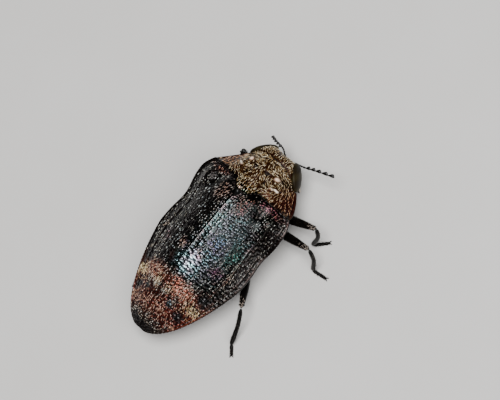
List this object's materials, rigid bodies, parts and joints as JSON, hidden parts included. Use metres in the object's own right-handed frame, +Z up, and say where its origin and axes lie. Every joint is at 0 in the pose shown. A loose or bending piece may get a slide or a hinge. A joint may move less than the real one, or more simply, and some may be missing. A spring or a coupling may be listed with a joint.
{
  "type": "jewel beetle model",
  "caption": "Still life-size model of a small flattened leaf-mining jewel beetle, standing on its feet with its feelers spread, metallic and short-haired.",
  "frame": {"origin": "on the ground under the middle of the box around the whole beetle", "axes": "+Y towards the head, +X to the beetle's right side, +Z up"},
  "size_m": [0.0046, 0.0064, 0.0019],
  "materials": {
    "wing_cases": "dark metallic blue-green with bronze, finely pitted, part covered by short hairs",
    "bronze": "dark metallic bronze under dense short pale golden hairs",
    "underside": "black-bronze, glossy, finely pitted",
    "limbs": "glossy black with a few pale hairs",
    "eyes": "smooth olive black, finely faceted",
    "hair": "short pale golden, cream and copper hairs lying flat"
  },
  "bodies": {
    "root": {"elytron_left": "wing_cases", "elytron_right": "wing_cases", "scutellum": "underside", "eye_left": "eyes", "eye_right": "eyes", "pronotum": "bronze", "prosternum": "underside", "mesosternum": "underside", "metasternum": "underside", "ventrite_1": "underside", "ventrite_3": "underside", "ventrite_4": "underside", "ventrite_5": "underside", "head": "bronze", "labrum": "limbs", "mandible_left": "limbs", "palp_left": "limbs", "mandible_right": "limbs", "palp_right": "limbs", "antenna_left": "limbs", "antenna_right": "limbs", "coxa_front_right": "limbs", "femur_front_right": "limbs", "tibia_front_right": "limbs", "tarsus_front_right": "limbs", "coxa_front_left": "limbs", "femur_front_left": "limbs", "tibia_front_left": "limbs", "tarsus_front_left": "limbs", "coxa_middle_right": "limbs", "femur_middle_right": "limbs", "tibia_middle_right": "limbs", "tarsus_middle_right": "limbs", "coxa_middle_left": "limbs", "femur_middle_left": "limbs", "tibia_middle_left": "limbs", "tarsus_middle_left": "limbs", "coxa_hind_right": "limbs", "femur_hind_right": "limbs", "tibia_hind_right": "limbs", "tarsus_hind_right": "limbs", "coxa_hind_left": "limbs", "femur_hind_left": "limbs", "tibia_hind_left": "limbs", "tarsus_hind_left": "limbs"}
  },
  "joints": []
}
